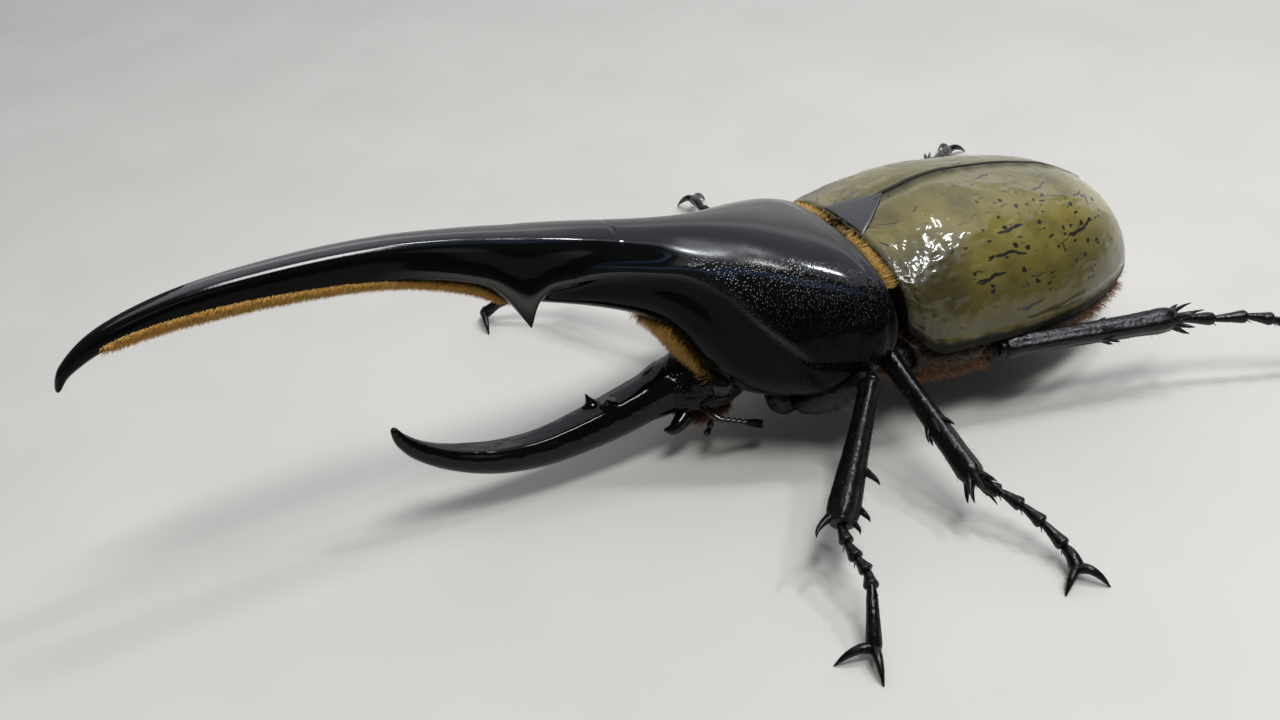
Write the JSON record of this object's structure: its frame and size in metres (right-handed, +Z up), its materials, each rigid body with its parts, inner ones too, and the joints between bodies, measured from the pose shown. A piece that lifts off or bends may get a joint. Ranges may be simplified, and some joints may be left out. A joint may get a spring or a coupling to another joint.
{
  "type": "hercules beetle",
  "caption": "Life-size still model of a male hercules beetle standing on its feet, with a long toothed upper horn, a lower head horn, domed wing cases and spined legs.",
  "frame": {"origin": "on the floor under the middle of the beetle's length and width, feet included", "axes": "+X forward along the body towards the horns, +Y to the beetle's left, +Z up"},
  "size_m": [0.176, 0.1274, 0.0476],
  "materials": {
    "black_shell": "smooth glossy black chitin, finely pitted at the sides",
    "olive_shell": "glossy olive-yellow chitin with black streaks and spots",
    "dark_skin": "dark brown-black chitin with golden-brown pile",
    "leg_shell": "black chitin with punctures and ridges, semi-gloss",
    "eye": "polished dark eye",
    "mouth": "red-brown mouthparts with short brush hair"
  },
  "bodies": {
    "root": {"thoracic_horn": "black_shell", "pronotum": "black_shell", "head": "black_shell", "cephalic_horn": "black_shell", "mandible_left": "black_shell", "mandible_right": "black_shell", "scutellum": "black_shell", "elytron_left": "olive_shell", "elytron_right": "olive_shell", "collar": "dark_skin", "breast": "dark_skin", "abdomen": "dark_skin", "antenna_left": "dark_skin", "antenna_right": "dark_skin", "palp_left": "dark_skin", "palp_right": "dark_skin", "chin": "mouth", "eye_left": "eye", "eye_right": "eye", "coxa_front_left": "leg_shell", "coxa_front_right": "leg_shell", "coxa_middle_left": "leg_shell", "coxa_middle_right": "leg_shell", "coxa_hind_left": "leg_shell", "coxa_hind_right": "leg_shell", "femur_front_left": "leg_shell", "femur_front_right": "leg_shell", "femur_middle_left": "leg_shell", "femur_middle_right": "leg_shell", "femur_hind_left": "leg_shell", "femur_hind_right": "leg_shell", "tibia_front_left": "leg_shell", "tibia_front_right": "leg_shell", "tibia_middle_left": "leg_shell", "tibia_middle_right": "leg_shell", "tibia_hind_left": "leg_shell", "tibia_hind_right": "leg_shell", "tarsus_front_left": "leg_shell", "tarsus_front_right": "leg_shell", "tarsus_middle_left": "leg_shell", "tarsus_middle_right": "leg_shell", "tarsus_hind_left": "leg_shell", "tarsus_hind_right": "leg_shell"}
  },
  "joints": []
}
